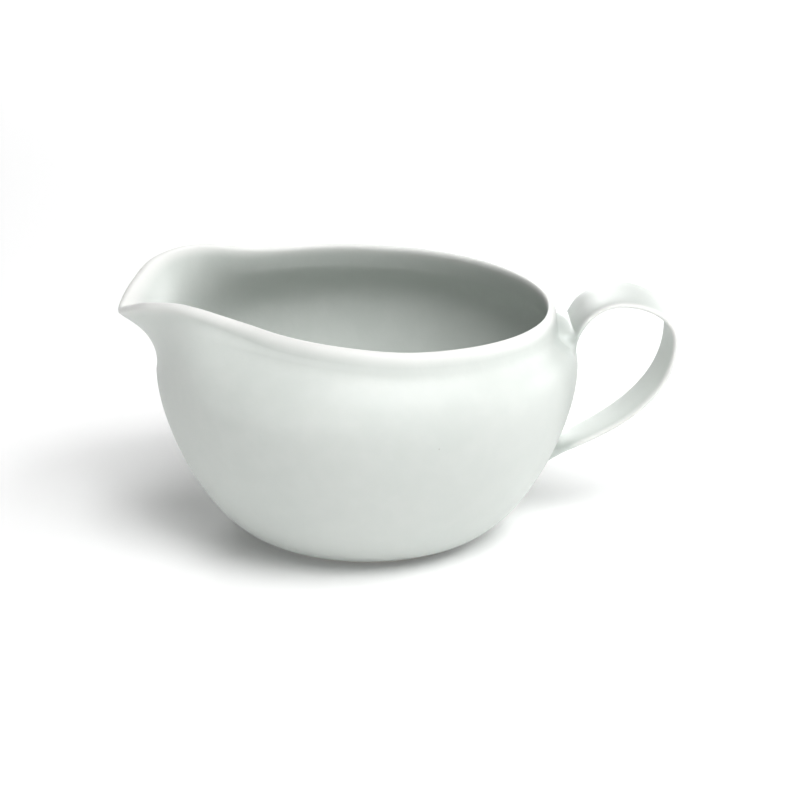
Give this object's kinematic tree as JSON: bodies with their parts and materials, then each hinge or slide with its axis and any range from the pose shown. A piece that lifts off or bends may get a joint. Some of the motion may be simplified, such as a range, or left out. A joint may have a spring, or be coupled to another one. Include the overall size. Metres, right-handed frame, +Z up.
{
  "type": "gravy boat",
  "caption": "White satin-glazed porcelain gravy boat: round-bellied open bowl with a broad drawn pouring lip and a tapering strap handle opposite.",
  "frame": {"origin": "centre of the footprint's bounding box, on the table under the foot ring", "axes": "+X along the length, towards the handle, with the pouring lip at -X; +Z up; the plane Y = 0 is the plane of symmetry"},
  "size_m": [0.169, 0.128, 0.0805],
  "materials": {
    "bowl_porcelain": "white satin glaze, faintly cool",
    "handle_porcelain": "white satin glaze, faintly cool",
    "slip_joint": "luting slip under the same white satin glaze"
  },
  "bodies": {
    "root": {"bowl": "bowl_porcelain", "handle": "handle_porcelain", "upper_handle_joint": "slip_joint", "lower_handle_joint": "slip_joint"}
  },
  "joints": []
}
